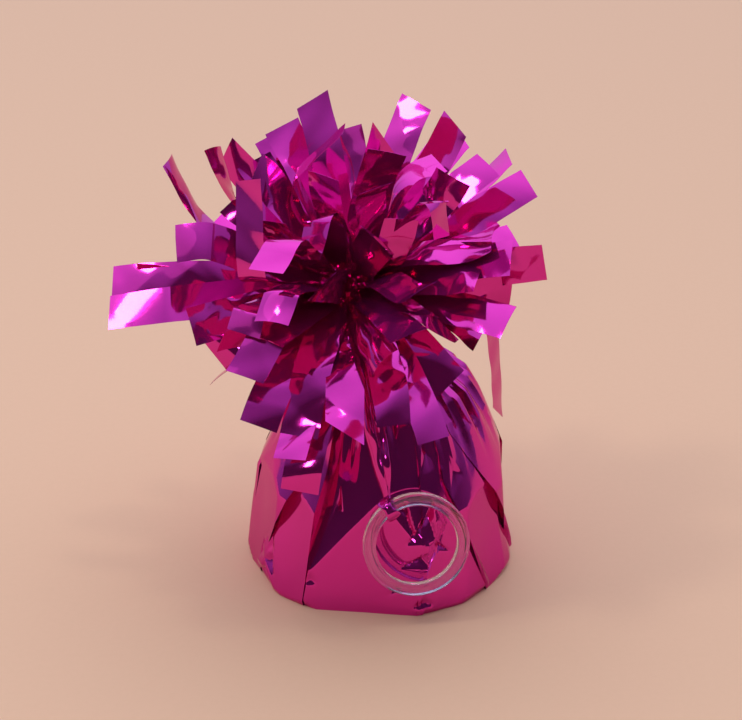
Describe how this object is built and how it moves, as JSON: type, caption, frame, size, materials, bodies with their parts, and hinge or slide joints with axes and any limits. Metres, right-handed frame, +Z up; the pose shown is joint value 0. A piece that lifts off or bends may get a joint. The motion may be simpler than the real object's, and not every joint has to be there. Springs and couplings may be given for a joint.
{
  "type": "balloon weight",
  "caption": "Foil balloon weight: a cast block wrapped in pleated metallised film, tied at the neck under a burst of film strips, with a clear ribbon ring on a twisted strand",
  "frame": {"origin": "the middle of the flat bottom, on the surface that the weight stands on", "axes": "+Z up through the neck, -Y towards the ribbon ring at the front, +X to the right seen from the front"},
  "size_m": [0.0933, 0.0821, 0.1038],
  "materials": {
    "film": "polished",
    "clear_plastic": "gloss",
    "cast_mineral": "matte",
    "cup_plastic": "satin",
    "tie": "satin"
  },
  "bodies": {
    "weight": {"ballast_block": "cast_mineral", "ballast_cup": "cup_plastic", "foil_wrap": "film", "twist_tie": "tie", "fringe_strip_01": "film", "fringe_strip_02": "film", "fringe_strip_03": "film", "fringe_strip_04": "film", "fringe_strip_05": "film", "fringe_strip_06": "film", "fringe_strip_07": "film", "fringe_strip_08": "film", "fringe_strip_09": "film", "fringe_strip_10": "film", "fringe_strip_11": "film", "fringe_strip_12": "film", "fringe_strip_13": "film", "fringe_strip_14": "film", "fringe_strip_15": "film", "fringe_strip_16": "film", "fringe_strip_17": "film", "fringe_strip_18": "film", "fringe_strip_19": "film", "fringe_strip_20": "film", "fringe_strip_21": "film", "fringe_strip_22": "film", "fringe_strip_23": "film", "fringe_strip_24": "film", "fringe_strip_25": "film", "fringe_strip_26": "film", "fringe_strip_27": "film", "fringe_strip_28": "film", "fringe_strip_29": "film", "fringe_strip_30": "film", "fringe_strip_31": "film", "fringe_strip_32": "film", "fringe_strip_33": "film", "fringe_strip_34": "film", "fringe_strip_35": "film", "fringe_strip_36": "film", "fringe_strip_37": "film", "fringe_strip_38": "film", "fringe_strip_39": "film", "fringe_strip_40": "film", "fringe_strip_41": "film", "fringe_strip_42": "film", "fringe_strip_43": "film", "fringe_strip_44": "film", "fringe_strip_45": "film", "fringe_strip_46": "film", "fringe_strip_47": "film", "fringe_strip_48": "film", "fringe_strip_49": "film", "fringe_strip_50": "film", "fringe_strip_51": "film", "fringe_strip_52": "film", "fringe_strip_53": "film", "inner_strips": "film"},
    "strand": {"ring_strand": "film"},
    "ring": {"ring": "clear_plastic"}
  },
  "joints": [
    {"name": "strand_swing", "type": "hinge", "parent": "weight", "child": "strand", "pos_m": [-0.0052, -0.00739, 0.0585], "axis": [-1, 0, 0], "range_deg": [0, 22]},
    {"name": "ring_swing", "type": "hinge", "parent": "strand", "child": "ring", "pos_m": [0.00182, -0.02762, 0.02679], "axis": [-0.8048, -0.2305, -0.547], "range_deg": [0, 120]}
  ]
}
